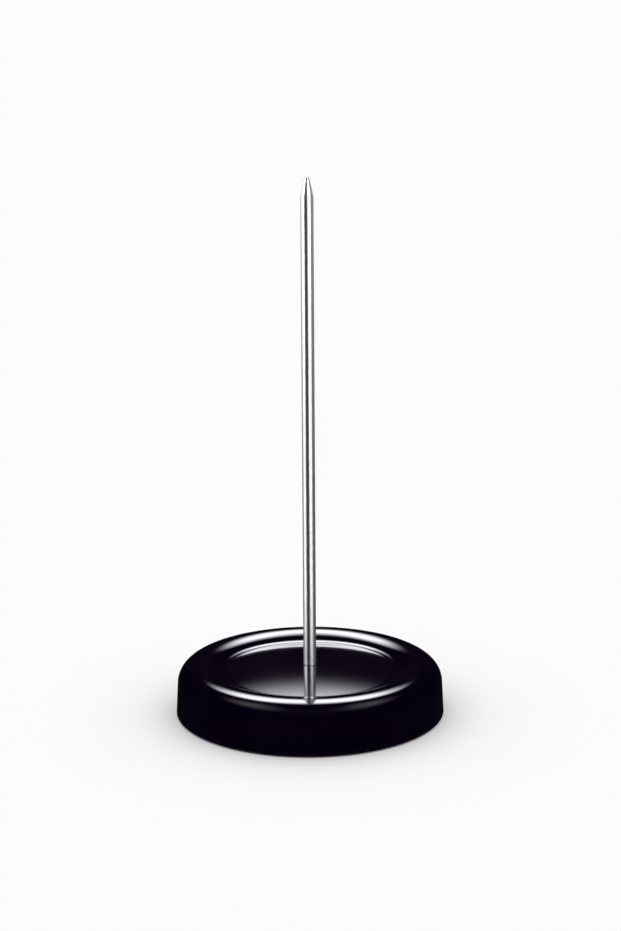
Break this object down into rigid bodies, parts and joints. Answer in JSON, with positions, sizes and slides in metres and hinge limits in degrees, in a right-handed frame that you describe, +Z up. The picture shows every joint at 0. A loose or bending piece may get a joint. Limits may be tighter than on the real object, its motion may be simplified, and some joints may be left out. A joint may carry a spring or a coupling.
{
  "type": "bill spike",
  "caption": "Upright pointed steel rod clamped in a weighted round base with a dished top, for impaling paid bills and notes on a desk.",
  "frame": {"origin": "centre of the surface that the feet stand on, under the spike", "axes": "+Z up along the spike towards its point; -Y is the side that the picture shows"},
  "size_m": [0.085, 0.085, 0.1701],
  "materials": {
    "base_plastic": "high-gloss moulded black with fine handling marks",
    "spike_steel": "bright drawn and polished, ground point",
    "ballast_steel": "turned, dull zinc plate",
    "plated_steel": "bright zinc plate",
    "spring_steel": "zinc plate over spring steel",
    "cover_plastic": "fine spark-eroded matt black",
    "screw_steel": "bright zinc plate",
    "foot_rubber": "matt moulded rubber"
  },
  "bodies": {
    "root": {"base_shell": "base_plastic", "spike": "spike_steel", "ballast_disc": "ballast_steel", "spike_washer": "plated_steel", "spike_lock_washer": "spring_steel", "spike_nut": "plated_steel", "base_cover": "cover_plastic", "cover_screws": "screw_steel", "foot_1": "foot_rubber", "foot_2": "foot_rubber", "foot_3": "foot_rubber"}
  },
  "joints": []
}
